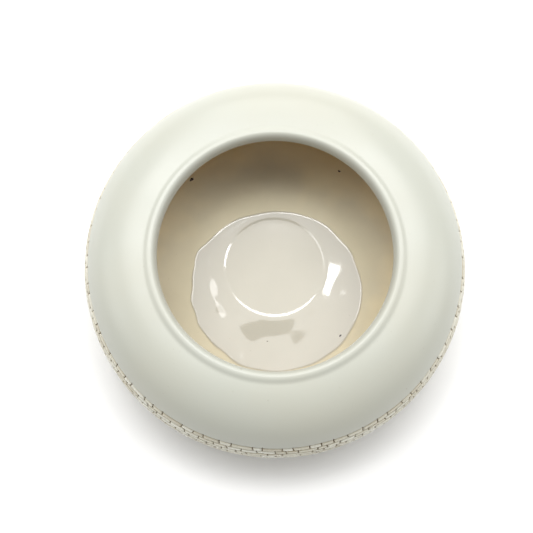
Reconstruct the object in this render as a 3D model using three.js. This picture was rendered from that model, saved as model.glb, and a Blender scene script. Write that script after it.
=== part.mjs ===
// Yarn bowl: a low, wide, closed bowl of white glazed stoneware with a round lip, a glossy glaze
// lining, and a lower wall laid with courses of small raised bricks down to a turned foot.
//
// Units are millimetres and +Z is up. The origin is the middle of the circle that the foot
// stands on. Every piece is turned about the Z axis from one finished outline, which runs from
// the middle of the floor inside, up the inner wall, over the lip and down the outer wall to
// the foot. The clay lies a coat's depth under that outline, and the glazes and the brick
// courses are coats on the clay.

import * as THREE from 'three';

// ---- Driving dimensions

const WIDEST_RADIUS = 101.5;        // outside, at the widest line
const WALL = 4.5;                   // thickness at the widest line
const INSIDE_DEPTH = 19;            // from the widest line down to the floor inside
const INSIDE_FLAT_RADIUS = 30;      // flat middle of the floor inside
const OUTSIDE_DEPTH = 28;           // from the widest line down to the underside of the floor
const OUTSIDE_FLAT_RADIUS = 45;
const BELLY_EXPONENT = 2.3;         // 2 is an ellipse, and more is a fuller curve
const SHOULDER_EXPONENT = 2.25;

const THROAT_RADIUS = 60.4;         // narrowest line of the mouth
const THROAT_BELOW_CREST = 5.5;
const CREST_RADIUS = 63.7;
const CREST_RISE = 36.2;            // from the widest line up to the lip's crest
const LIP_UNDER_ROUND = 1.8;        // round of the lip under the throat
const LIP_OUTER_ROUND = 2.2;        // how soft the lip's outer edge is

const SHOULDER_START_RADIUS = 68;   // where the shoulder leaves the lip
const SHOULDER_TOP_RADIUS = 65;     // where the shoulder's curve would be level
const SHOULDER_RISE = 35.2;
const CEILING_TOP_RADIUS = 61;      // the same for the ceiling inside

const FOOT_OUTER_RADIUS = 64;
const FOOT_INNER_RADIUS = 56;
const FOOT_EDGE = 1;                // bevel on both edges of the foot
const FOOT_RECESS = 3;              // underside of the floor above the table

const COAT = 0.8;                   // thickness of a glaze or of a brick course
const COAT_GAP = 0.1;               // clearance between a coat and the clay
const BAND_START = 18;              // top of the first course, along the wall above the widest line
const COURSE_PITCH = 3.6;
const COURSE_COUNT = 17;
const COURSE_JOINT = 0.5;           // width of the line between two courses
const GLAZE_JOINT = 0.2;            // width of the line between two glazes

const TURNED_SIDES = 36;            // facets round every turned piece
const DISH_STEPS = 12;              // facets along each stretch of the outline
const CEILING_STEPS = 5;
const UNDER_STEPS = 2;
const ROLL_STEPS = 4;
const EDGE_STEPS = 3;
const SHOULDER_STEPS = 6;
const BASE_STEPS = 2;
const ELLIPSE = 2;                  // exponent of a plain elliptical stretch
const LEVEL = Math.PI / 2;          // angle at which a stretch is level with its centre

// ---- Heights that follow

const WIDEST_Z = FOOT_RECESS + OUTSIDE_DEPTH;
const CREST_Z = WIDEST_Z + CREST_RISE;
const THROAT_Z = CREST_Z - THROAT_BELOW_CREST;
const INNER_WIDEST_RADIUS = WIDEST_RADIUS - WALL;

// ---- Materials

const plainMaterial = (color, roughness) => (
  new THREE.MeshStandardMaterial({ color, roughness, metalness: 0 })
);
const CLAY = plainMaterial(0xb9a68a, 0.85);
const WHITE_GLAZE = plainMaterial(0xeceade, 0.22);
const LINING_GLAZE = plainMaterial(0xcdbd9a, 0.1);
const BRICK_SLIP = plainMaterial(0xe2dfd0, 0.35);

// ---- The finished outline, in (radius, height) points

// Part of a quarter superellipse. At angle 0 it is straight over or under its centre.
class QuarterArc extends THREE.Curve {
  constructor(centre, reach, exponent, fromAngle, toAngle) {
    super();
    Object.assign(this, { centre, reach, exponent, fromAngle, toAngle });
  }

  getPoint(t) {
    const angle = this.fromAngle + (this.toAngle - this.fromAngle) * t;
    const power = 2 / this.exponent;
    return new THREE.Vector2(
      this.centre.x + this.reach.x * Math.sin(angle) ** power,
      this.centre.y + this.reach.y * Math.max(0, Math.cos(angle)) ** power,
    );
  }
}

const at = (radius, height) => new THREE.Vector2(radius, height);

// The angle at which a quarter arc of that centre and reach passes a radius.
function angleAtRadius(radius, centreRadius, reachRadius, exponent) {
  return Math.asin(((radius - centreRadius) / reachRadius) ** (exponent / 2));
}

function innerWallPoints() {
  const flatReach = INNER_WIDEST_RADIUS - INSIDE_FLAT_RADIUS;
  const dish = new QuarterArc(
    at(INSIDE_FLAT_RADIUS, WIDEST_Z), at(flatReach, -INSIDE_DEPTH), BELLY_EXPONENT, 0, LEVEL);

  const underCentre = at(THROAT_RADIUS + LIP_UNDER_ROUND, THROAT_Z);
  const ceilingReach = INNER_WIDEST_RADIUS - CEILING_TOP_RADIUS;
  const ceilingEnd = angleAtRadius(underCentre.x, CEILING_TOP_RADIUS, ceilingReach, SHOULDER_EXPONENT);
  const ceilingHeight = underCentre.y - LIP_UNDER_ROUND - WIDEST_Z;
  const ceilingRise = ceilingHeight / Math.cos(ceilingEnd) ** (2 / SHOULDER_EXPONENT);
  const ceiling = new QuarterArc(
    at(CEILING_TOP_RADIUS, WIDEST_Z), at(ceilingReach, ceilingRise), SHOULDER_EXPONENT, LEVEL, ceilingEnd);
  const under = new QuarterArc(underCentre, at(-LIP_UNDER_ROUND, -LIP_UNDER_ROUND), ELLIPSE, 0, LEVEL);

  return [
    at(0, WIDEST_Z - INSIDE_DEPTH),
    ...dish.getSpacedPoints(DISH_STEPS),
    ...ceiling.getSpacedPoints(CEILING_STEPS).slice(1),
    ...under.getSpacedPoints(UNDER_STEPS).slice(1),
  ];
}

const shoulderReach = at(WIDEST_RADIUS - SHOULDER_TOP_RADIUS, SHOULDER_RISE);
const shoulderStart = angleAtRadius(
  SHOULDER_START_RADIUS, SHOULDER_TOP_RADIUS, shoulderReach.x, SHOULDER_EXPONENT);
const shoulder = new QuarterArc(
  at(SHOULDER_TOP_RADIUS, WIDEST_Z), shoulderReach, SHOULDER_EXPONENT, shoulderStart, LEVEL);

const bellyReach = at(WIDEST_RADIUS - OUTSIDE_FLAT_RADIUS, -OUTSIDE_DEPTH);
const bellyEnd = angleAtRadius(FOOT_OUTER_RADIUS, OUTSIDE_FLAT_RADIUS, bellyReach.x, BELLY_EXPONENT);
const belly = new QuarterArc(
  at(OUTSIDE_FLAT_RADIUS, WIDEST_Z), bellyReach, BELLY_EXPONENT, LEVEL, bellyEnd);

// A point of the outer wall, by its distance along the wall below the widest line.
function outerWallPoint(distance) {
  if (distance < 0) return shoulder.getPointAt(1 + distance / shoulder.getLength());
  return belly.getPointAt(distance / belly.getLength());
}

// From the throat over the crest to the shoulder, without the throat's own point.
function lipPoints() {
  const roll = new QuarterArc(
    at(CREST_RADIUS, THROAT_Z), at(THROAT_RADIUS - CREST_RADIUS, THROAT_BELOW_CREST), ELLIPSE, LEVEL, 0);
  const crest = at(CREST_RADIUS, CREST_Z);
  const end = shoulder.getPoint(0);
  const endSlope = shoulder.getTangent(0).multiplyScalar(-LIP_OUTER_ROUND);
  const outerEdge = new THREE.CubicBezierCurve(
    crest, at(CREST_RADIUS + LIP_OUTER_ROUND, CREST_Z), end.clone().add(endSlope), end);
  return [
    ...roll.getSpacedPoints(ROLL_STEPS).slice(1),
    ...outerEdge.getSpacedPoints(EDGE_STEPS).slice(1),
  ];
}

// From the shoulder's start to the top of the brick band, without the first point.
function shoulderPoints() {
  const fullLength = shoulder.getLength();
  const step = (fullLength - BAND_START) / SHOULDER_STEPS;
  return Array.from({ length: SHOULDER_STEPS }, (_, i) => outerWallPoint(step * (i + 1) - fullLength));
}

// The lower edge of each course in turn.
function bandPoints() {
  const lowerEdge = (_, i) => outerWallPoint((i + 1) * COURSE_PITCH - BAND_START);
  return Array.from({ length: COURSE_COUNT }, lowerEdge);
}

// From the band down to the foot, without the first point.
function basePoints() {
  const bandEnd = COURSE_COUNT * COURSE_PITCH - BAND_START;
  const step = (belly.getLength() - bandEnd) / BASE_STEPS;
  return Array.from({ length: BASE_STEPS }, (_, i) => outerWallPoint(bandEnd + step * (i + 1)));
}

const finished = innerWallPoints();
const throatIndex = finished.length - 1;
finished.push(...lipPoints(), ...shoulderPoints());
const bandIndex = finished.length - 1;
finished.push(...bandPoints());
const baseIndex = finished.length - 1;
finished.push(...basePoints());
const footIndex = finished.length - 1;

// ---- Clay and coats

// Moves every point of the finished outline into the wall. The wall is on the right of it.
function sunk(depth) {
  return finished.map((point, i) => {
    const before = finished[Math.max(0, i - 1)];
    const after = finished[Math.min(footIndex, i + 1)];
    const along = after.clone().sub(before).normalize();
    const moved = at(point.x + along.y * depth, point.y - along.x * depth);
    if (i === 0) moved.x = 0;
    return moved;
  });
}

// Shortens a run of points by a length at each end.
function trimmed(points, startCut, endCut) {
  const towards = (from, to, cut) => from.clone().add(to.clone().sub(from).setLength(cut));
  const result = [...points];
  result[0] = towards(points[0], points[1], startCut);
  result[result.length - 1] = towards(points.at(-1), points.at(-2), endCut);
  return result;
}

const coatBack = sunk(COAT);
const claySurface = sunk(COAT + COAT_GAP);

// The section of a coat from one point of the outline to another.
function coatSection(first, last, startCut, endCut) {
  const front = trimmed(finished.slice(first, last + 1), startCut, endCut);
  const back = trimmed(coatBack.slice(first, last + 1), startCut, endCut).reverse();
  return [...front, ...back];
}

function claySection() {
  return [
    ...claySurface,
    finished[footIndex],
    at(FOOT_OUTER_RADIUS, FOOT_EDGE),
    at(FOOT_OUTER_RADIUS - FOOT_EDGE, 0),
    at(FOOT_INNER_RADIUS + FOOT_EDGE, 0),
    at(FOOT_INNER_RADIUS, FOOT_EDGE),
    at(FOOT_INNER_RADIUS, FOOT_RECESS),
    at(0, FOOT_RECESS),
  ];
}

// Turns a section about the Z axis. A section that leaves the axis out is closed on itself.
function turned(name, section, material) {
  const profile = [...section].reverse();
  if (profile[0].x > 0) profile.push(profile[0].clone());
  const geometry = new THREE.LatheGeometry(profile, TURNED_SIDES);
  geometry.rotateX(LEVEL);
  const mesh = new THREE.Mesh(geometry, material);
  mesh.name = name;
  return mesh;
}

// ---- The bowl

const bowl = new THREE.Group();
bowl.name = 'yarn_bowl';

bowl.add(turned('clay_body', claySection(), CLAY));
bowl.add(turned('inner_glaze', coatSection(0, throatIndex, 0, GLAZE_JOINT / 2), LINING_GLAZE));
bowl.add(turned(
  'outer_glaze', coatSection(throatIndex, bandIndex, GLAZE_JOINT / 2, COURSE_JOINT / 2), WHITE_GLAZE));

for (let course = 0; course < COURSE_COUNT; course += 1) {
  const name = `brick_course_${String(course + 1).padStart(2, '0')}`;
  const top = bandIndex + course;
  bowl.add(turned(name, coatSection(top, top + 1, COURSE_JOINT / 2, COURSE_JOINT / 2), BRICK_SLIP));
}

bowl.add(turned(
  'base_glaze', coatSection(baseIndex, footIndex, COURSE_JOINT / 2, COURSE_JOINT / 2), WHITE_GLAZE));

export default bowl;
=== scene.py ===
# The looks of a yarn bowl: a low, wide, closed bowl of white glazed stoneware, with a pool of clear
# glaze on its floor and courses of small raised bricks round its lower wall. Lengths are in
# millimetres, except in the studio, and meshes are written in metres. Angles round the bowl start
# at +X, and -Y is the front.

import math
import random

import bmesh
import bpy
import numpy as np
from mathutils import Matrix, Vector


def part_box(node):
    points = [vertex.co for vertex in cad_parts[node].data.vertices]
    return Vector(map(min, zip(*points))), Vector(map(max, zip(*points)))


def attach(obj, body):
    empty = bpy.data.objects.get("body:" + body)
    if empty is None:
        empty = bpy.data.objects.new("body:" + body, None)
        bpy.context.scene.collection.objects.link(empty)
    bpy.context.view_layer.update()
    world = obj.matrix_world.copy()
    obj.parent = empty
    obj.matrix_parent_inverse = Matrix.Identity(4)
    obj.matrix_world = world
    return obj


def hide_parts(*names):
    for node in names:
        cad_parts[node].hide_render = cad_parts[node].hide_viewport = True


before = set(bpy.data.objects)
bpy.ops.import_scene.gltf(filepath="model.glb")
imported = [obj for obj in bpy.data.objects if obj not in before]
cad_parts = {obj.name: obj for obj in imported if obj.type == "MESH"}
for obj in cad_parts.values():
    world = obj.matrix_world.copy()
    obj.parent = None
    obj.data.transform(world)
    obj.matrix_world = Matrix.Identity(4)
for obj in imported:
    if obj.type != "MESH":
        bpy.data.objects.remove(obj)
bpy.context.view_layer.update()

MM = 0.001
TURN = 2 * math.pi
LEVEL = math.pi / 2
ELLIPSE = 2

# ---- The outline that the CAD model is turned from

WIDEST_RADIUS = 101.5
WALL = 4.5
INSIDE_DEPTH = 19
INSIDE_FLAT_RADIUS = 30
OUTSIDE_DEPTH = 28
OUTSIDE_FLAT_RADIUS = 45
BELLY_EXPONENT = 2.3
SHOULDER_EXPONENT = 2.25
THROAT_RADIUS = 60.4
THROAT_BELOW_CREST = 5.5
CREST_RADIUS = 63.7
LIP_UNDER_ROUND = 1.8
LIP_OUTER_ROUND = 2.2
SHOULDER_START_RADIUS = 68
SHOULDER_TOP_RADIUS = 65
SHOULDER_RISE = 35.2
CEILING_TOP_RADIUS = 61
FOOT_OUTER_RADIUS = 64
FOOT_INNER_RADIUS = 56
FOOT_RECESS = 3
COAT = 0.8
BAND_START = 18
COURSE_PITCH = 3.6
COURSE_COUNT = sum(name.startswith("brick_course_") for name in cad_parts)

WIDEST_Z = FOOT_RECESS + OUTSIDE_DEPTH
CREST_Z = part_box("outer_glaze")[1].z / MM
THROAT_Z = CREST_Z - THROAT_BELOW_CREST
INNER_WIDEST_RADIUS = WIDEST_RADIUS - WALL


def quarter(centre, reach, exponent, start, end, steps=120):
    """Part of a quarter superellipse. At angle 0 it is straight over or under its centre."""
    angles = np.linspace(start, end, steps + 1)
    power = 2 / exponent
    radii = centre[0] + reach[0] * np.sin(angles) ** power
    heights = centre[1] + reach[1] * np.maximum(np.cos(angles), 0) ** power
    return np.column_stack([radii, heights])


def angle_at_radius(radius, centre_radius, reach_radius, exponent):
    return math.asin(((radius - centre_radius) / reach_radius) ** (exponent / 2))


def cubic(p0, p1, p2, p3, steps=60):
    t = np.linspace(0, 1, steps + 1)[:, None]
    p0, p1, p2, p3 = (np.array(p, float) for p in (p0, p1, p2, p3))
    return (1 - t) ** 3 * p0 + 3 * (1 - t) ** 2 * t * p1 + 3 * (1 - t) * t ** 2 * p2 + t ** 3 * p3


class Wall:
    """A finished surface as a fine chain of (radius, height) points, by distance along it."""

    def __init__(self, points, zero_index, outward):
        steps = np.hypot(*np.diff(points, axis=0).T)
        keep = np.concatenate([[True], steps > 1e-6])
        zero = points[zero_index].copy()
        points = points[keep]
        self.points = points
        lengths = np.concatenate([[0], np.cumsum(np.hypot(*np.diff(points, axis=0).T))])
        self.at = lengths - lengths[np.argmin(np.hypot(*(points - zero).T))]
        self.outward = outward
        self.start = self.at[0]
        self.end = self.at[-1]

    def point(self, distance):
        return np.stack([np.interp(distance, self.at, self.points[:, k]) for k in (0, 1)], -1)

    def sunk(self, distance, depth):
        """The point at a depth under the surface."""
        reach = 0.15
        distance = np.asarray(distance, float)
        ahead = self.point(np.minimum(distance + reach, self.end))
        behind = self.point(np.maximum(distance - reach, self.start))
        along = ahead - behind
        along /= np.linalg.norm(along, axis=-1, keepdims=True)
        into = np.stack([along[..., 1], -along[..., 0]], -1)
        return self.point(distance) + into * np.asarray(depth)[..., None] * self.outward


def outer_wall():
    """From the throat over the lip and down to the foot. Distance 0 is the widest line."""
    roll = quarter(
        (CREST_RADIUS, THROAT_Z), (THROAT_RADIUS - CREST_RADIUS, THROAT_BELOW_CREST), ELLIPSE, LEVEL, 0)
    reach = (WIDEST_RADIUS - SHOULDER_TOP_RADIUS, SHOULDER_RISE)
    start = angle_at_radius(SHOULDER_START_RADIUS, SHOULDER_TOP_RADIUS, reach[0], SHOULDER_EXPONENT)
    shoulder = quarter((SHOULDER_TOP_RADIUS, WIDEST_Z), reach, SHOULDER_EXPONENT, start, LEVEL, 400)
    crest = np.array([CREST_RADIUS, CREST_Z])
    slope = shoulder[1] - shoulder[0]
    slope *= LIP_OUTER_ROUND / np.linalg.norm(slope)
    edge = cubic(crest, crest + (LIP_OUTER_ROUND, 0), shoulder[0] - slope, shoulder[0])
    belly_reach = (WIDEST_RADIUS - OUTSIDE_FLAT_RADIUS, -OUTSIDE_DEPTH)
    end = angle_at_radius(FOOT_OUTER_RADIUS, OUTSIDE_FLAT_RADIUS, belly_reach[0], BELLY_EXPONENT)
    belly = quarter((OUTSIDE_FLAT_RADIUS, WIDEST_Z), belly_reach, BELLY_EXPONENT, LEVEL, end, 800)
    points = np.concatenate([roll, edge[1:], shoulder[1:], belly[1:]])
    return Wall(points, len(roll) + len(edge) + len(shoulder) - 3, 1)


def inner_wall():
    """From the middle of the floor up to the throat. Distance 0 is the middle of the floor."""
    flat = np.column_stack([np.linspace(0, INSIDE_FLAT_RADIUS, 30), np.full(30, WIDEST_Z - INSIDE_DEPTH)])
    bowl = quarter(
        (INSIDE_FLAT_RADIUS, WIDEST_Z), (INNER_WIDEST_RADIUS - INSIDE_FLAT_RADIUS, -INSIDE_DEPTH),
        BELLY_EXPONENT, 0, LEVEL, 800)
    under_centre = (THROAT_RADIUS + LIP_UNDER_ROUND, THROAT_Z)
    reach = INNER_WIDEST_RADIUS - CEILING_TOP_RADIUS
    end = angle_at_radius(under_centre[0], CEILING_TOP_RADIUS, reach, SHOULDER_EXPONENT)
    rise = (under_centre[1] - LIP_UNDER_ROUND - WIDEST_Z) / math.cos(end) ** (2 / SHOULDER_EXPONENT)
    ceiling = quarter((CEILING_TOP_RADIUS, WIDEST_Z), (reach, rise), SHOULDER_EXPONENT, LEVEL, end, 400)
    under = quarter(under_centre, (-LIP_UNDER_ROUND, -LIP_UNDER_ROUND), ELLIPSE, 0, LEVEL, 30)
    return Wall(np.concatenate([flat, bowl[1:], ceiling[1:], under[1:]]), 0, 1)


OUTER = outer_wall()
INNER = inner_wall()

# ---- Mesh helpers


class Unevenness:
    """A smooth random field of hand work, about -1 to 1. Scale is the size of one wave."""

    def __init__(self, scale, seed, waves=28):
        draw = np.random.default_rng(seed)
        directions = draw.normal(size=(waves, 3))
        directions /= np.linalg.norm(directions, axis=1, keepdims=True)
        self.rates = directions * TURN / (scale * draw.uniform(0.75, 1.5, (waves, 1)))
        self.phases = draw.uniform(0, TURN, waves)

    def at(self, x, y, z):
        x, y, z = np.broadcast_arrays(x, y, z)
        total = np.zeros(x.shape)
        for rate, phase in zip(self.rates, self.phases):
            total += np.sin(rate[0] * x + rate[1] * y + rate[2] * z + phase)
        return total / math.sqrt(len(self.phases) * 2)

    def on(self, angle, points):
        """Its value at (radius, height) points turned to an angle."""
        radii = points[..., 0]
        return self.at(radii * np.cos(angle), radii * np.sin(angle), points[..., 1])


def mesh_object(name, points, faces, material, smooth=True):
    mesh = bpy.data.meshes.new(name)
    mesh.from_pydata(points.tolist(), [], faces)
    shape = bmesh.new()
    shape.from_mesh(mesh)
    bmesh.ops.recalc_face_normals(shape, faces=shape.faces)
    shape.to_mesh(mesh)
    shape.free()
    mesh.polygons.foreach_set("use_smooth", [smooth] * len(mesh.polygons))
    mesh.materials.append(material)
    piece = bpy.data.objects.new(name, mesh)
    bpy.context.scene.collection.objects.link(piece)
    return piece


def turned(name, columns, sections, material):
    """A closed solid from one section of (radius, height) points per column angle.

    A section goes round a ring, or runs from the axis to the axis.
    """
    count, size = sections.shape[:2]
    on_axis = sections[0, 0, 0] < 1e-6
    radii = sections[..., 0] * MM
    x = radii * np.cos(columns)[:, None]
    y = radii * np.sin(columns)[:, None]
    points = np.stack([x, y, sections[..., 1] * MM], -1)
    index = np.arange(count * size).reshape(count, size)
    faces = []
    if not on_axis:
        for i in range(count):
            here, there = index[i], index[(i + 1) % count]
            faces += [(here[j], here[(j + 1) % size], there[(j + 1) % size], there[j]) for j in range(size)]
        return mesh_object(name, points.reshape(-1, 3), faces, material)
    inside = points[:, 1:-1].reshape(-1, 3)
    ends = np.array([points[:, 0].mean(0), points[:, -1].mean(0)])
    index = np.arange(count * (size - 2)).reshape(count, size - 2)
    first, last = len(inside), len(inside) + 1
    for i in range(count):
        here, there = index[i], index[(i + 1) % count]
        faces.append((first, here[0], there[0]))
        faces += [(here[j], here[j + 1], there[j + 1], there[j]) for j in range(size - 3)]
        faces.append((last, there[-1], here[-1]))
    return mesh_object(name, np.concatenate([inside, ends]), faces, material)


# ---- Materials


class Finish:
    """A Principled material with a few helpers for its procedural nodes."""

    def __init__(self, name, **sockets):
        self.material = bpy.data.materials.new(name)
        self.material.use_nodes = True
        self.nodes = self.material.node_tree.nodes
        self.links = self.material.node_tree.links
        self.shader = self.nodes["Principled BSDF"]
        for socket, value in sockets.items():
            self.shader.inputs[socket.replace("_", " ")].default_value = value
        self.place = self.nodes.new("ShaderNodeTexCoord").outputs["Object"]

    def noise(self, scale, detail=3, roughness=0.5, place=None):
        node = self.nodes.new("ShaderNodeTexNoise")
        node.inputs["Scale"].default_value = scale
        node.inputs["Detail"].default_value = detail
        node.inputs["Roughness"].default_value = roughness
        self.links.new(place or self.place, node.inputs["Vector"])
        return node.outputs["Fac"]

    def ramp(self, value, *stops):
        """Colours or greys by value. A stop is (position, (r, g, b)) or (position, grey)."""
        node = self.nodes.new("ShaderNodeValToRGB")
        elements = node.color_ramp.elements
        while len(elements) < len(stops):
            elements.new(0.5)
        for element, (position, colour) in zip(elements, stops):
            element.position = position
            grey = isinstance(colour, (int, float))
            element.color = (colour,) * 3 + (1,) if grey else tuple(colour) + (1,)
        self.links.new(value, node.inputs["Fac"])
        return node.outputs["Color"]

    def span(self, value, low, high, to_low=0, to_high=1):
        node = self.nodes.new("ShaderNodeMapRange")
        node.inputs["From Min"].default_value = low
        node.inputs["From Max"].default_value = high
        node.inputs["To Min"].default_value = to_low
        node.inputs["To Max"].default_value = to_high
        self.links.new(value, node.inputs["Value"])
        return node.outputs["Result"]

    def math(self, operation, a, b):
        node = self.nodes.new("ShaderNodeMath")
        node.operation = operation
        for socket, value in zip(node.inputs, (a, b)):
            if isinstance(value, (int, float)):
                socket.default_value = value
            else:
                self.links.new(value, socket)
        return node.outputs["Value"]

    def mix(self, factor, a, b, blend="MIX"):
        node = self.nodes.new("ShaderNodeMix")
        node.data_type = "RGBA"
        node.blend_type = blend
        self._feed(node.inputs[0], factor)
        self._feed(node.inputs[6], a)
        self._feed(node.inputs[7], b)
        return node.outputs[2]

    def _feed(self, socket, value):
        if isinstance(value, bpy.types.NodeSocket):
            self.links.new(value, socket)
        elif isinstance(value, (int, float)):
            socket.default_value = value
        else:
            socket.default_value = tuple(value) + (1,)

    def attribute(self, name):
        node = self.nodes.new("ShaderNodeAttribute")
        node.attribute_name = name
        return node.outputs["Fac"]

    def height(self):
        node = self.nodes.new("ShaderNodeSeparateXYZ")
        self.links.new(self.place, node.inputs[0])
        return node.outputs["Z"]

    def colour(self, value):
        self.links.new(value, self.shader.inputs["Base Color"])

    def rough(self, value):
        self.links.new(value, self.shader.inputs["Roughness"])

    def bump(self, height, distance, strength=1.0):
        node = self.nodes.new("ShaderNodeBump")
        node.inputs["Distance"].default_value = distance
        node.inputs["Strength"].default_value = strength
        self.links.new(height, node.inputs["Height"])
        self.links.new(node.outputs["Normal"], self.shader.inputs["Normal"])


WHITE = (0.450, 0.458, 0.403)
WHITE_WARM = (0.448, 0.446, 0.380)
IRON = (0.20, 0.14, 0.08)


def white_glaze():
    finish = Finish("white_glaze", IOR=1.52)
    clouds = finish.ramp(finish.noise(14, 4, 0.55), (0.35, WHITE), (0.70, WHITE_WARM))
    specks = finish.ramp(finish.noise(700, 2, 0.6), (0.735, 0.0), (0.78, 1.0))
    finish.colour(finish.mix(finish.math("MULTIPLY", specks, 0.35), clouds, IRON))
    finish.rough(finish.span(finish.noise(30, 3), 0.3, 0.7, 0.30, 0.38))
    grain = finish.math("MULTIPLY", finish.noise(900, 2), 0.25)
    finish.bump(finish.math("ADD", finish.noise(110, 3, 0.45), grain), 0.00012, 0.25)
    return finish.material


def lining_glaze():
    """Satin on the walls, and clear and wet-looking in the pool on the floor."""
    finish = Finish(
        "lining_glaze", IOR=1.6, Specular_IOR_Level=0.2, Coat_IOR=1.6, Coat_Roughness=0.03)
    wander = finish.math("MULTIPLY", finish.math("SUBTRACT", finish.noise(18, 3), 0.5), 0.010)
    level = finish.span(finish.math("ADD", finish.height(), wander), 0.011, 0.062)
    # Colour up the walls by height: cream on the floor, a lighter band low on the wall, then tan, then a
    # brown that darkens towards the throat. The lighter band is painted light. The deepening brown under the
    # shoulder is mostly painted shade, and partly the glaze thinning to brown by the throat.
    body = finish.ramp(
        level, (0.0, (0.64, 0.59, 0.42)), (0.05, (0.66, 0.605, 0.43)), (0.09, (0.82, 0.72, 0.46)),
        (0.16, (0.78, 0.62, 0.30)), (0.22, (0.66, 0.45, 0.15)), (0.38, (0.46, 0.25, 0.055)),
        (1.0, (0.36, 0.20, 0.06)))
    mottle = finish.ramp(finish.noise(45, 5, 0.6), (0.3, 0.93), (0.7, 1.0))
    specks = finish.ramp(finish.noise(520, 2, 0.6), (0.745, 0.0), (0.79, 1.0))
    tone_and_painted_shade = finish.mix(1.0, body, mottle, "MULTIPLY")
    pool = finish.attribute("pool")
    clear = finish.ramp(finish.noise(30, 3), (0.3, (0.47, 0.45, 0.37)), (0.7, (0.50, 0.48, 0.40)))
    tone_and_painted_shade = finish.mix(pool, tone_and_painted_shade, clear)
    finish.colour(finish.mix(finish.math("MULTIPLY", specks, 0.4), tone_and_painted_shade, IRON))
    satin = finish.span(finish.noise(60, 3), 0.3, 0.7, 0.50, 0.60)
    wet = finish.span(finish.noise(60, 3), 0.3, 0.7, 0.02, 0.05)
    finish.rough(finish.mix(pool, satin, wet))
    finish.links.new(pool, finish.shader.inputs["Coat Weight"])
    finish.bump(finish.noise(90, 3, 0.5), 0.0001, 0.08)
    return finish.material


def brick_glaze():
    finish = Finish("brick_glaze", IOR=1.52)
    tint = finish.ramp(
        finish.attribute("tint"), (0.0, (0.48, 0.44, 0.33)), (0.5, (0.57, 0.545, 0.43)),
        (1.0, (0.65, 0.64, 0.55)))
    patches = finish.span(finish.noise(260, 3), 0.35, 0.7, 0, 0.5)
    worn = finish.math("MULTIPLY", finish.attribute("edge"), patches)
    finish.colour(finish.mix(worn, tint, (0.46, 0.37, 0.25)))
    finish.rough(finish.span(finish.noise(220, 3), 0.3, 0.7, 0.20, 0.38))
    finish.bump(finish.noise(800, 4, 0.6), 0.00012, 0.35)
    return finish.material


def bare_clay():
    finish = Finish("bare_clay", Roughness=0.8)
    grain = finish.ramp(
        finish.noise(420, 5, 0.65), (0.30, (0.42, 0.34, 0.24)), (0.55, (0.56, 0.48, 0.36)),
        (0.75, (0.66, 0.58, 0.46)))
    grog = finish.ramp(finish.noise(1100, 2, 0.5), (0.66, 0.0), (0.70, 1.0))
    foot = finish.mix(finish.math("MULTIPLY", grog, 0.6), grain, (0.19, 0.12, 0.07))
    wash = finish.ramp(finish.noise(300, 4, 0.6), (0.30, (0.12, 0.095, 0.062)), (0.70, (0.26, 0.215, 0.15)))
    finish.colour(finish.mix(finish.span(finish.height(), 0.0045, 0.0055), foot, wash))
    finish.rough(finish.span(finish.noise(500, 3), 0.2, 0.8, 0.72, 0.92))
    finish.bump(finish.noise(1300, 5, 0.65), 0.0003, 0.6)
    return finish.material


def iron_spot():
    finish = Finish("iron_spot", IOR=1.6)
    finish.colour(finish.ramp(
        finish.noise(1600, 3), (0.3, (0.012, 0.007, 0.004)), (0.7, (0.06, 0.035, 0.02))))
    finish.rough(finish.span(finish.noise(900, 2), 0.3, 0.7, 0.15, 0.3))
    return finish.material


MATERIALS = {
    "clay": bare_clay(),
    "white": white_glaze(),
    "lining": lining_glaze(),
    "brick": brick_glaze(),
    "spot": iron_spot(),
}

# ---- Brick layout

BRICK_LENGTH = 7.9
SHORTEST_BRICK = 4.6
LONGEST_BRICK = 13.0
JOINT_STRAY = 0.22                  # of a brick, each way, from the middle of the brick above
BED_JOINT = 0.45                    # level line between courses
UPRIGHT_JOINT = 0.54                # upright line between bricks
GROOVE_DEPTH = 0.6
BED_WANDER = 0.2                    # how far a level line strays
JOINT_LEAN = 0.35                   # how far an upright joint leans, at most
OVERCUT = 0.7                       # how far the top joints run up into the shoulder, at most
BED_WAVES = Unevenness(34, 31)


def bed_line(line, angle):
    """Distance along the outer wall of the level line above a course, at an angle."""
    wander = BED_WAVES.at(WIDEST_RADIUS * np.cos(angle), WIDEST_RADIUS * np.sin(angle), 9.0 * line)
    return line * COURSE_PITCH - BAND_START + wander * BED_WANDER


def running_bond():
    """For each course, the angles of its upright joints in order. Each lies near the middle
    of a brick above, and bricks that come out too short are joined to their neighbour."""
    draw = random.Random(500)
    courses = []
    count = round(TURN * WIDEST_RADIUS / BRICK_LENGTH)
    angles = [(i + draw.uniform(-0.32, 0.32)) * TURN / count for i in range(count)]
    for course in range(COURSE_COUNT):
        radius = OUTER.point((course + 0.5) * COURSE_PITCH - BAND_START)[0]
        kept = []
        for i, angle in enumerate(angles):
            gap = (angles[(i + 1) % len(angles)] - angle) % TURN
            if kept and (angle - kept[-1]) * radius < SHORTEST_BRICK:
                continue
            kept.append(angle)
            if gap * radius > LONGEST_BRICK:
                kept.append(angle + gap * draw.uniform(0.4, 0.6))
        if (kept[0] + TURN - kept[-1]) * radius < SHORTEST_BRICK:
            kept.pop()
        courses.append(kept)
        gaps = [(kept[(i + 1) % len(kept)] - a) % TURN for i, a in enumerate(kept)]
        angles = sorted(
            (a + g * (0.5 + draw.uniform(-JOINT_STRAY, JOINT_STRAY))) % TURN for a, g in zip(kept, gaps))
    return courses


BOND = running_bond()


def upright_joints(course):
    """(angle, lean) of each upright joint of a course, in order. Lean is in millimetres."""
    draw = random.Random(700 + course)
    return [(angle, draw.uniform(-JOINT_LEAN, JOINT_LEAN)) for angle in BOND[course]]


# ---- The pieces


def place_piece(piece, slot, *nodes):
    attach(piece, "root")
    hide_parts(*nodes)
    return piece


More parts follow.
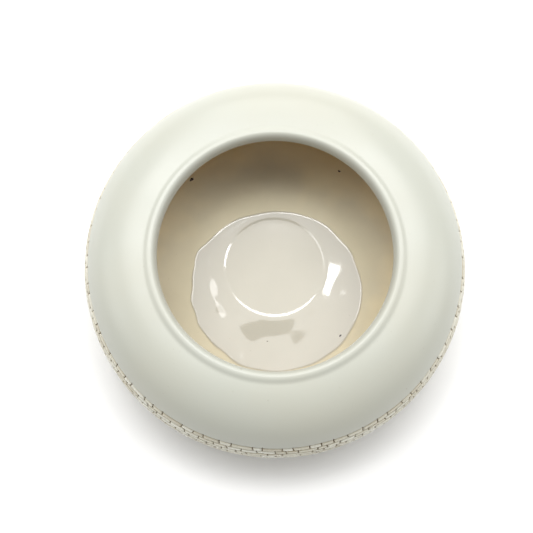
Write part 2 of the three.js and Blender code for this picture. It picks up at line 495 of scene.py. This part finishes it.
DISC_MIDDLE = 4.0                   # the trued disc of the floor lies this far back of the axis
DISC_RADIUS = 27.5
DISC_DEPTH = 0.19
DISC_EDGE = 0.6
DISC_DULLNESS = 0.05
POOL_MIDDLE = (1.0, -9.5)           # where the clear glaze ran together on the floor
POOL_RADIUS = (47.5, 45.5)
POOL_DEPTH = 0.22
POOL_EDGE = 1.1
RIPPLE = 0.10                       # height of the ripples in the pool, most at its left
POOL_SCALLOPS = Unevenness(15, 51)
POOL_BAYS = Unevenness(34, 52)
LINING_BACK = 1.25                  # thickness of the lining, except by the throat
THROAT_THIN = 12                    # by the throat, over this length, it is a coat thick
FLOOR_REACH = 80                    # the pool and the disc lie nearer the floor's middle than this
FINE_FROM, FINE_TO = 20, 66         # between these the lining's mesh is finest, for the pool's edge
LIP_ZONE = 8                        # by the throat the lining's mesh is fine too
CALM_LENGTH = 15                    # by the throat, unevenness fades out over this length
SWIRL_HEIGHT = 0.03                 # a faint streak by the middle of the disc


def pool_cover(x, y):
    """1 in the pool of clear glaze on the floor, 0 outside it, and between on its round edge."""
    across = (x - POOL_MIDDLE[0]) / POOL_RADIUS[0]
    down = (y - POOL_MIDDLE[1]) / POOL_RADIUS[1]
    ragged = 0.45 + 0.55 * np.clip(-across, 0, 1)
    edge = ragged * (1.0 * POOL_SCALLOPS.at(x, y, 0) + 0.9 * POOL_BAYS.at(x, y, 0))
    inwards = (1 - np.hypot(across, down)) * POOL_RADIUS[0] + edge
    cover = np.clip(inwards / POOL_EDGE, 0, 1)
    return np.sin(cover * LEVEL)


def floor_relief(x, y, cover):
    """How far the lining of the floor lies over its plain outline."""
    out = np.hypot(x, y - DISC_MIDDLE)
    disc = DISC_DEPTH / (1 + np.exp((out - DISC_RADIUS) / DISC_EDGE))
    swirl = SWIRL_HEIGHT * np.exp(-(((x + y - 4) / 2.2) ** 2 + ((x - y + 4) / 9.0) ** 2))
    return swirl - disc + POOL_DEPTH * cover


def lining_thickness(distance):
    return np.where(distance < INNER.end - THROAT_THIN, LINING_BACK, COAT)


def lining():
    columns = np.linspace(0, TURN, 380, endpoint=False)
    along = np.concatenate([
        np.linspace(0, FINE_FROM, 18), np.linspace(FINE_FROM, FINE_TO, 120)[1:],
        np.linspace(FINE_TO, INNER.end - LIP_ZONE, 70)[1:],
        np.linspace(INNER.end - LIP_ZONE, INNER.end, 20)[1:]])
    angle, distance = columns[:, None], along[None, :] + 0 * columns[:, None]
    plain = INNER.sunk(distance, 0 * distance)
    x, y = plain[..., 0] * np.cos(angle), plain[..., 0] * np.sin(angle)
    on_floor = distance < FLOOR_REACH
    cover = pool_cover(x, y) * on_floor
    calm = np.clip((INNER.end - distance) / CALM_LENGTH, 0, 1)
    rough = 0.10 * Unevenness(40, 11).on(angle, plain) + 0.045 * Unevenness(17, 12).on(angle, plain)
    from_disc = np.hypot(x, y - DISC_MIDDLE) - DISC_RADIUS - 3 * DISC_EDGE
    ripple = np.clip(from_disc / 8, 0, 1) * (0.35 + 0.65 * np.clip(-x / 20, 0, 1))
    level = 0.02 * Unevenness(40, 14).on(angle, plain) + RIPPLE * ripple * Unevenness(13, 15).on(angle, plain)
    dent = calm * (rough * (1 - cover) + level * cover) - floor_relief(x, y, cover) * on_floor
    front = INNER.sunk(distance, dent)
    front[:, 0, 0] = 0
    rear = np.linspace(INNER.end, 0, 24)
    back = INNER.sunk(*(np.tile(row, (len(columns), 1)) for row in (rear, lining_thickness(rear))))
    back[:, -1, 0] = 0
    piece = turned("lining", columns, np.concatenate([front, back], 1), MATERIALS["lining"])
    cover = cover * (1 - DISC_DULLNESS / (1 + np.exp((from_disc + 3 * DISC_EDGE) / DISC_EDGE)))
    flags = np.concatenate([cover, 0 * back[..., 0]], 1)
    layer = piece.data.attributes.new("pool", "FLOAT", "POINT")
    values = np.concatenate([flags[:, 1:-1].reshape(-1), [cover[0, 0], 0.0]])
    layer.data.foreach_set("value", values.astype(np.float32))
    return place_piece(piece, "lining_glaze", "inner_glaze")


def edge_roll(length, depth, steps=5):
    """Steps down a rounded edge: how far short of the end and how deep each point is."""
    turns = np.linspace(0, LEVEL, steps + 1)
    return length * (1 - np.sin(turns)), depth * (1 - np.cos(turns))


COAT_ROUND = 0.45                   # rounded edge where a white coat meets the bricks
FOOT_COAT_ROUND = (0.8, 0.6)        # length and depth of the base coat's edge by the foot
NOTCH_TOP, NOTCH_FOOT = 0.8, 1.3    # reach of an overcut's full and last depth, in half joints


def shoulder_coat():
    joints = upright_joints(0)
    draw = random.Random(77)
    half = UPRIGHT_JOINT / 2 / WIDEST_RADIUS
    columns = list(np.linspace(0, TURN, 300, endpoint=False))
    notches = []
    for angle, _ in joints:
        notches.append((angle % TURN, draw.uniform(0.1, 1) ** 1.5 * OVERCUT))
        columns += [(angle + k * half) % TURN for k in (-NOTCH_FOOT, -NOTCH_TOP, 0, NOTCH_TOP, NOTCH_FOOT)]
    columns = np.array(sorted(columns))
    cut = np.zeros(len(columns))
    for angle, depth in notches:
        away = np.abs((columns - angle + math.pi) % TURN - math.pi) / half
        share = np.clip((NOTCH_FOOT - away) / (NOTCH_FOOT - NOTCH_TOP), 0, 1)
        cut = np.maximum(cut, depth * share)
    end = bed_line(0, columns) - BED_JOINT / 2 - cut
    round_short, round_deep = edge_roll(COAT_ROUND, COAT_ROUND)
    last_fixed = -BAND_START - 3
    fixed = np.concatenate([
        np.linspace(OUTER.start, OUTER.start + 18, 60), np.linspace(OUTER.start + 18, last_fixed, 45)[1:]])
    tail = np.concatenate([[2.0, 1.2, 0.8], round_short])
    along = np.concatenate([np.tile(fixed, (len(columns), 1)), end[:, None] - tail], 1)
    deep = np.concatenate([np.zeros(len(fixed) + 3), round_deep])[None, :] + 0 * along
    angle = columns[:, None]
    calm = np.clip((along - OUTER.start) / CALM_LENGTH, 0, 1)
    plain = OUTER.sunk(along, 0 * along)
    deep = deep + calm * 0.09 * Unevenness(48, 21).on(angle, plain)
    front = OUTER.sunk(along, deep)
    back_along = np.linspace(1, 0, 14)[None, :] * (end[:, None] - OUTER.start) + OUTER.start
    back = OUTER.sunk(back_along, np.full(back_along.shape, COAT))
    piece = turned("shoulder_coat", columns, np.concatenate([front, back], 1), MATERIALS["white"])
    return place_piece(piece, "white_glaze", "outer_glaze")


FACE_U = np.array([0, 0.035, 0.10, 0.26, 0.5, 0.74, 0.90, 0.965, 1])
FACE_V = np.array([0, 0.08, 0.22, 0.5, 0.78, 0.92, 1])
BRICK_EDGE_DROP = 0.30
BRICK_EDGE_ROUND = 0.55
CORNER_ROUND = 0.22


def brick_faces():
    """The faces of one closed brick: a gridded front, four sides and a back."""
    across, down = len(FACE_U), len(FACE_V)
    grid = np.arange(across * down).reshape(down, across)
    faces = []
    for j in range(down - 1):
        faces += [(grid[j, i], grid[j, i + 1], grid[j + 1, i + 1], grid[j + 1, i]) for i in range(across - 1)]
    rim = [*grid[0, :-1], *grid[:-1, -1], *grid[-1, :0:-1], *grid[:0:-1, 0]]
    back = [grid.size + k for k in range(len(rim))]
    for k in range(len(rim)):
        after = (k + 1) % len(rim)
        faces.append((rim[k], back[k], back[after], rim[after]))
    faces.append(tuple(back))
    return faces, rim


BRICK_FACES, BRICK_RIM = brick_faces()


def brick_course(course):
    draw = random.Random(900 + course)
    joints = upright_joints(course)
    middle = (course + 0.5) * COURSE_PITCH - BAND_START
    radius = OUTER.point(middle)[0]
    u, v = np.meshgrid(FACE_U, FACE_V)
    x, y = 2 * u - 1, 2 * v - 1
    all_points, all_faces, tints, edges = [], [], [], []
    for i, (start, start_lean) in enumerate(joints):
        stop, stop_lean = joints[(i + 1) % len(joints)]
        if i == len(joints) - 1:
            stop += TURN
        half_gap = UPRIGHT_JOINT * draw.uniform(0.38, 0.62)
        left = start + (half_gap + start_lean * y) / radius
        right = stop - (half_gap - stop_lean * y) / radius
        length = (stop - start) * radius - 2 * half_gap
        pull_u = CORNER_ROUND / (length / 2) * np.abs(y) ** 6
        pull_v = CORNER_ROUND / (COURSE_PITCH / 2) * np.abs(x) ** 14
        angle = (left + right) / 2 + (right - left) / 2 * x * (1 - pull_u)
        top = bed_line(course, angle) + BED_JOINT / 2
        bottom = bed_line(course + 1, angle) - BED_JOINT / 2
        along = (top + bottom) / 2 + (bottom - top) / 2 * y * (1 - pull_v)
        away = np.minimum(np.minimum(u, 1 - u) * length, np.minimum(v, 1 - v) * (COURSE_PITCH - BED_JOINT))
        near = 1 - np.clip(away / BRICK_EDGE_ROUND, 0, 1)
        tilt = draw.uniform(-0.07, 0.07) * x + draw.uniform(-0.06, 0.06) * y
        depth = draw.uniform(-0.02, 0.10) + tilt + BRICK_EDGE_DROP * near ** 2
        front = OUTER.sunk(along, depth).reshape(-1, 2)
        angle, along = angle.reshape(-1), along.reshape(-1)
        rim = BRICK_RIM
        back = OUTER.sunk(along[rim], np.full(len(rim), COAT))
        section = np.concatenate([front, back])
        around = np.concatenate([angle, angle[rim]])
        base = len(all_points) * len(section)
        all_points.append(np.column_stack(
            [section[:, 0] * np.cos(around), section[:, 0] * np.sin(around), section[:, 1]]) * MM)
        all_faces += [tuple(base + k for k in face) for face in BRICK_FACES]
        tints.append(np.full(len(section), draw.uniform(0, 1)))
        edges.append(np.concatenate([near.reshape(-1), np.ones(len(rim))]))
    name = f"bricks_{course + 1:02d}"
    piece = mesh_object(name, np.concatenate(all_points), all_faces, MATERIALS["brick"])
    for key, values in (("tint", tints), ("edge", edges)):
        layer = piece.data.attributes.new(key, "FLOAT", "POINT")
        layer.data.foreach_set("value", np.concatenate(values).astype(np.float32))
    return place_piece(piece, "brick_slip", f"brick_course_{course + 1:02d}")


def base_coat():
    columns = np.linspace(0, TURN, 360, endpoint=False)
    start = bed_line(COURSE_COUNT, columns) + BED_JOINT / 2
    foot_x, foot_y = FOOT_OUTER_RADIUS * np.cos(columns), FOOT_OUTER_RADIUS * np.sin(columns)
    foot_wander = Unevenness(26, 41).at(foot_x, foot_y, 0)
    end = OUTER.end - 0.5 + 0.3 * foot_wander
    top_short, top_deep = edge_roll(COAT_ROUND, COAT_ROUND)
    low_short, low_deep = edge_roll(*FOOT_COAT_ROUND)
    share = np.linspace(0, 1, 22)[1:-1]
    head = start[:, None] + top_short[::-1]
    foot = end[:, None] - low_short
    body = (start[:, None] + COAT_ROUND) * (1 - share) + (end[:, None] - FOOT_COAT_ROUND[0]) * share
    along = np.concatenate([head, body, foot], 1)
    deep = np.concatenate([top_deep[::-1], np.zeros(len(share)), low_deep])[None, :] + 0 * along
    plain = OUTER.sunk(along, 0 * along)
    deep = deep + 0.05 * Unevenness(25, 42).on(columns[:, None], plain)
    front = OUTER.sunk(along, deep)
    back_share = np.linspace(1, 0, 8)
    back_along = start[:, None] * (1 - back_share) + end[:, None] * back_share
    back = OUTER.sunk(back_along, np.full(back_along.shape, COAT))
    piece = turned("base_coat", columns, np.concatenate([front, back], 1), MATERIALS["white"])
    return place_piece(piece, "white_glaze", "base_glaze")


CORE_OVERLAP = 0.02                 # how far the clay reaches into the lining and the lip's coat
LIP_RUN = 12                        # of the outer wall from the throat, the part under that coat


def clay_core():
    """The stoneware under the coats, with its turned foot and recess."""
    columns = np.linspace(0, TURN, 288, endpoint=False)
    inside_along = np.linspace(0, INNER.end, 60)
    inside = INNER.sunk(inside_along, lining_thickness(inside_along) - CORE_OVERLAP)
    lip_along = np.linspace(OUTER.start, OUTER.start + LIP_RUN, 24)[1:]
    lip = OUTER.sunk(lip_along, np.full(len(lip_along), COAT - CORE_OVERLAP))
    wall_along = np.linspace(OUTER.start + LIP_RUN, OUTER.end, 120)[1:]
    wall = OUTER.sunk(wall_along, np.full(len(wall_along), GROOVE_DEPTH))
    edge = 1.0
    foot_top = OUTER.point(OUTER.end)[1] - 0.15
    foot = [(FOOT_OUTER_RADIUS - 0.15, foot_top), (FOOT_OUTER_RADIUS - 0.1, foot_top - 1.2)]
    for turn in np.linspace(0, LEVEL, 6):
        foot.append((FOOT_OUTER_RADIUS - edge + edge * math.cos(turn), edge - edge * math.sin(turn)))
    for turn in np.linspace(0, LEVEL, 6):
        foot.append((FOOT_INNER_RADIUS + edge - edge * math.sin(turn), edge - edge * math.cos(turn)))
    corner = 1.2
    for turn in np.linspace(0, LEVEL, 6):
        foot.append((FOOT_INNER_RADIUS - corner + corner * math.cos(turn),
                     FOOT_RECESS - corner + corner * math.sin(turn)))
    radii = np.linspace(FOOT_INNER_RADIUS - corner - 0.4, 0, 110)
    turning = 0.07 * np.sin(radii * TURN / 1.9) + 0.05 * np.sin(radii * TURN / 5.3 + 1)
    recess = np.column_stack([radii, FOOT_RECESS + turning * np.clip(radii / 4, 0, 1)])
    section = np.concatenate([inside, lip, wall, np.array(foot), recess])
    section[0, 0] = 0
    sections = np.tile(section, (len(columns), 1, 1))
    piece = turned("clay_core", columns, sections, MATERIALS["clay"])
    return place_piece(piece, "stoneware", "clay_body")


SPOT_HEIGHT = 0.22                  # of an iron spot's size
SPOT_BEDDING = 0.05                 # how far a spot's rim lies under the lining
SPOT_ROOT = 0.3                     # how far its root does
# Iron spots burnt into the lining: angle in degrees, distance up the inner wall, and size.
IRON_SPOTS = ((131, 71, 1.0), (58, 69, 0.6), (316, 50, 0.6), (264, 38, 0.35), (149, 54, 0.4))


def iron_spots():
    all_points, all_faces = [], []
    rings, sides = 4, 14
    draw = random.Random(5)
    for degrees, distance, size in IRON_SPOTS:
        base = sum(len(p) for p in all_points)
        centre_angle = math.radians(degrees)
        radius = INNER.point(distance)[0]
        cover = pool_cover(radius * math.cos(centre_angle), radius * math.sin(centre_angle))
        lift = POOL_DEPTH * float(cover)
        points, stretch = [], draw.uniform(1.1, 1.8)
        for ring in range(rings + 1):
            reach = size * ring / rings
            rise = SPOT_HEIGHT * size * (1 - (ring / rings) ** 2) - SPOT_BEDDING + lift
            for side in range(sides if ring else 1):
                turn = TURN * side / sides
                uneven = 1 + 0.18 * math.sin(3 * turn + distance) * ring / rings
                angle = centre_angle + reach * uneven * stretch * math.cos(turn) / radius
                up = distance + reach * uneven * math.sin(turn)
                r, z = INNER.sunk(np.array(up), np.array(-rise))
                points.append((r * math.cos(angle), r * math.sin(angle), z))
        bottom = INNER.sunk(np.array(float(distance)), np.array(SPOT_ROOT))
        points.append((bottom[0] * math.cos(centre_angle), bottom[0] * math.sin(centre_angle), bottom[1]))
        all_points.append(np.array(points) * MM)
        under = base + len(points) - 1
        for side in range(sides):
            here = [base + 1 + ring * sides + side for ring in range(rings)]
            there = [base + 1 + ring * sides + (side + 1) % sides for ring in range(rings)]
            all_faces.append((base, here[0], there[0]))
            for ring in range(rings - 1):
                all_faces.append((here[ring], here[ring + 1], there[ring + 1], there[ring]))
            all_faces.append((under, there[-1], here[-1]))
    piece = mesh_object("iron_spots", np.concatenate(all_points), all_faces, MATERIALS["spot"])
    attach(piece, "root")


# ---- Camera, light and floor

CAMERA_ELEVATION = 77.8             # degrees above level, from the front
CAMERA_DISTANCE = 600               # from the axis at the widest line
CAMERA_ASIDE = -4.4                 # the bowl stands a little right of the middle of the picture
LENS = 75.4


def camera():
    data = bpy.data.cameras.new("camera")
    data.lens = LENS
    data.sensor_width = 36
    data.clip_start = 0.01
    view = bpy.data.objects.new("camera", data)
    elevation = math.radians(CAMERA_ELEVATION)
    back = Vector((0, -math.cos(elevation), math.sin(elevation)))
    target = Vector((CAMERA_ASIDE, 0, WIDEST_Z))
    view.location = (target + back * CAMERA_DISTANCE) * MM
    view.rotation_euler = (-back).to_track_quat("-Z", "Y").to_euler()
    bpy.context.scene.collection.objects.link(view)
    bpy.context.scene.camera = view


# Softboxes round the bowl: azimuth and elevation in degrees, width and height in metres, watts.
SOFTBOXES = {
    "back_high": (90, 68, (1.3, 0.71), 6.4),
    "back_right": (40, 60, (0.9, 0.9), 10.2),
    "back_left": (140, 60, (0.9, 0.9), 11.2),
    "back_low": (90, 34, (1.2, 1.2), 12.3),
    "right_low": (0, 25, (0.8, 0.8), 3.7),
    "left_low": (180, 25, (0.8, 0.8), 3.3),
}
SOFTBOX_DISTANCE = 1.6
STUDIO_MIDDLE = Vector((0, 0, 0.1))
WORLD_STRENGTH = 0.42
# Small bright panes that show in the wet glaze: place and width and length in metres, and watts.
PANES = {
    "pane_right": ((0.128, 0.298, 1.5), (0.045, 0.055), 0.10),
    "pane_left": ((-0.145, 0.277, 1.5), (0.10, 0.20), 0.22),
    "pane_back": ((0.0, 0.485, 1.626), (0.50, 0.080), 0.96),
}


def area_light(name, place, size, power):
    data = bpy.data.lights.new(name, "AREA")
    data.shape = "RECTANGLE"
    data.size, data.size_y = size
    data.energy = power
    light = bpy.data.objects.new(name, data)
    light.location = place
    light.rotation_euler = (STUDIO_MIDDLE - place).to_track_quat("-Z", "Y").to_euler()
    bpy.context.scene.collection.objects.link(light)


def studio():
    world = bpy.data.worlds.new("studio")
    world.use_nodes = True
    background = world.node_tree.nodes["Background"]
    background.inputs["Color"].default_value = (1.0, 1.0, 0.985, 1)
    background.inputs["Strength"].default_value = WORLD_STRENGTH
    bpy.context.scene.world = world
    for name, (azimuth, elevation, size, power) in SOFTBOXES.items():
        azimuth, elevation = math.radians(azimuth), math.radians(elevation)
        level = math.cos(elevation)
        away = Vector((level * math.cos(azimuth), level * math.sin(azimuth), math.sin(elevation)))
        area_light(name, STUDIO_MIDDLE + away * SOFTBOX_DISTANCE, size, power)
    for name, (place, size, power) in PANES.items():
        area_light(name, Vector(place), size, power)
    bpy.context.scene.view_settings.view_transform = "Standard"


def floor():
    size = 3.0                      # metres from the middle to a side
    finish = Finish("floor", Roughness=0.9, Base_Color=(0.95, 0.95, 0.95, 1))
    mesh = bpy.data.meshes.new("floor")
    corners = [(-size, -size, 0), (size, -size, 0), (size, size, 0), (-size, size, 0)]
    mesh.from_pydata(corners, [], [(0, 1, 2, 3)])
    mesh.materials.append(finish.material)
    piece = bpy.data.objects.new("floor", mesh)
    bpy.context.scene.collection.objects.link(piece)


camera()
clay_core()
lining()
shoulder_coat()
for course_index in range(COURSE_COUNT):
    brick_course(course_index)
base_coat()
iron_spots()
studio()
floor()
